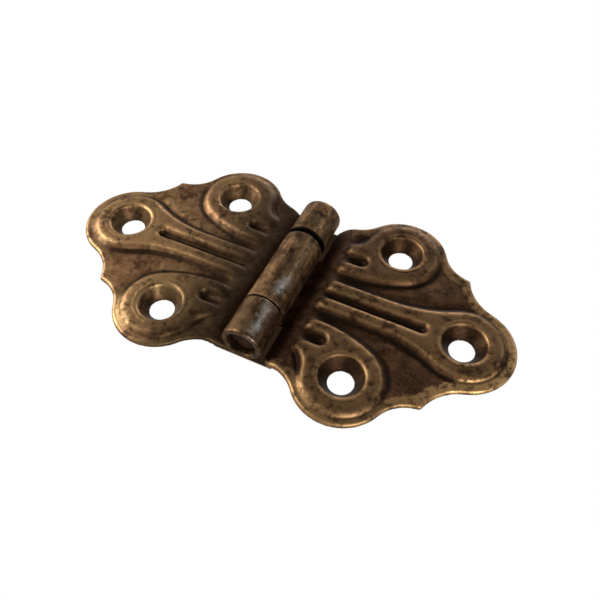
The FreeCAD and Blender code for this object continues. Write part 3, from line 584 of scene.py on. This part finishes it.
def makeLeaf(node, name, material, body):
    leaf = traceNode(node, name)
    leaf.data.materials.clear()
    leaf.data.materials.append(material)
    grain = leafShape["grain"]
    settle(leaf, "REMESH", mode="VOXEL", voxel_size=grain, adaptivity=0, use_smooth_shade=True)
    settle(leaf, "SMOOTH", factor=leafShape["softFactor"], iterations=leafShape["softPasses"])
    swellRelief(leaf)
    measureWear(leaf)
    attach(leaf, body)
    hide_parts(node)
    print(name, len(leaf.data.vertices), "points")


makeLeaf("left_leaf", "leftLeaf", leftBrassLit, "fixed_leaf")
makeLeaf("right_leaf", "rightLeaf", rightBrassShaded, "swing_leaf")

pin = frame["nodes"]["hinge_pin"]
for pinSlot in pin.material_slots:
    pinSlot.material = rustyShadedPin
print("pieces made")


# stage: a plain white floor and soft light
stage = {"floorZ": -0.02 * mm, "floorSize": 3.0, "floorGlow": 0.45, "white": (0.8, 0.8, 0.8),
         "floorRough": 0.9, "shadeAcross": (5.0 * mm, 4.8 * mm), "shadeAlong": (15.0 * mm, 14.7 * mm),
         "shade": 0.03, "shadeTint": (0.8, 0.46, 0.25), "horizon": 0.58, "zenith": 0.09,
         "skyFade": (0.02, 0.85), "leftGain": 1.35, "rightGain": 0.7, "tint": (1.0, 0.95, 0.87)}
lamps = [
    {"name": "leftWindow", "place": (-0.36, -0.04, 0.22), "size": 0.3, "power": 1.95,
     "colour": (1.0, 0.97, 0.92)},
    {"name": "frontRight", "place": (0.3, -0.3, 0.2), "size": 0.3, "power": 1.45,
     "colour": (1.0, 0.97, 0.93)},
    {"name": "backWall", "place": (-0.05, 0.5, 0.13), "size": 0.3, "power": 0.8,
     "colour": (1.0, 0.96, 0.94)},
    {"name": "backSky", "place": (0.22, 0.22, 0.25), "size": 0.07, "power": 0.12,
     "colour": (0.75, 0.88, 1.0)},
]


def makeStage():
    bpy.ops.object.select_all(action="DESELECT")
    bpy.ops.mesh.primitive_plane_add(size=stage["floorSize"], location=(0, 0, stage["floorZ"]))
    floor = bpy.context.object
    floor.name = "floor"
    material, tree, shader = newMaterial("whiteFloor")
    feed(tree, shader.inputs["Base Color"], stage["white"])
    shader.inputs["Roughness"].default_value = stage["floorRough"]
    path = addNode(tree, "ShaderNodeLightPath")
    parts = addNode(tree, "ShaderNodeSeparateXYZ")
    feed(tree, parts.inputs[0], addNode(tree, "ShaderNodeTexCoord").outputs["Object"])
    across = combine(tree, "ABSOLUTE", parts.outputs["X"], 0.0)
    along = combine(tree, "ABSOLUTE", parts.outputs["Y"], 0.0)
    under = combine(tree, "MULTIPLY", ease(tree, across, *stage["shadeAcross"]),
                    ease(tree, along, *stage["shadeAlong"]))
    shade = ease(tree, under, 0.0, 1.0, 1.0, stage["shade"])  # the barrel's own shadow beneath it
    level = combine(tree, "MAXIMUM", path.outputs["Is Camera Ray"], stage["floorGlow"])
    glow = addNode(tree, "ShaderNodeEmission")
    feed(tree, glow.inputs["Strength"], combine(tree, "MULTIPLY", shade, level))
    feed(tree, glow.inputs["Color"], blend(tree, under, (1.0, 1.0, 1.0), stage["shadeTint"]))
    seen = combine(tree, "MAXIMUM", path.outputs["Is Camera Ray"], path.outputs["Is Glossy Ray"])
    seen = combine(tree, "MAXIMUM", seen, path.outputs["Is Transmission Ray"])
    mix = addNode(tree, "ShaderNodeMixShader")
    for number, value in ((0, seen), (1, shader.outputs[0]), (2, glow.outputs[0])):
        feed(tree, mix.inputs[number], value)
    behind = addNode(tree, "ShaderNodeNewGeometry")
    clear = addNode(tree, "ShaderNodeBsdfTransparent")
    oneSided = addNode(tree, "ShaderNodeMixShader")  # the floor isn't there from below
    for number, value in ((0, behind.outputs["Backfacing"]), (1, mix.outputs[0]), (2, clear.outputs[0])):
        feed(tree, oneSided.inputs[number], value)
    feed(tree, tree.nodes["Material Output"].inputs["Surface"], oneSided.outputs[0])
    floor.data.materials.append(material)


def makeLight():
    world = bpy.data.worlds.new("softRoom")
    bpy.context.scene.world = world
    world.use_nodes = True
    tree = world.node_tree
    where = addNode(tree, "ShaderNodeTexCoord").outputs["Generated"]
    parts = addNode(tree, "ShaderNodeSeparateXYZ")
    feed(tree, parts.inputs[0], where)
    height = ease(tree, parts.outputs["Z"], *stage["skyFade"], stage["horizon"], stage["zenith"])
    across = ease(tree, parts.outputs["X"], -1.0, 1.0, stage["leftGain"], stage["rightGain"])
    level = combine(tree, "MULTIPLY", height, across)
    path = addNode(tree, "ShaderNodeLightPath")
    level = combine(tree, "MAXIMUM", level, path.outputs["Is Camera Ray"])
    feed(tree, tree.nodes["Background"].inputs["Strength"], level)
    tinted = blend(tree, path.outputs["Is Camera Ray"], stage["tint"], (1.0, 1.0, 1.0))
    feed(tree, tree.nodes["Background"].inputs["Color"], tinted)
    for lamp in lamps:
        bpy.ops.object.light_add(type="AREA", location=lamp["place"])
        light = bpy.context.object
        light.name = lamp["name"]
        light.data.shape = "DISK"
        light.data.size = lamp["size"]
        light.data.energy = lamp["power"]
        light.data.color = lamp["colour"]
        light.rotation_euler = (-Vector(lamp["place"])).to_track_quat("-Z", "Y").to_euler()


makeStage()
makeLight()
print("stage lit")

bpy.context.view_layer.update()
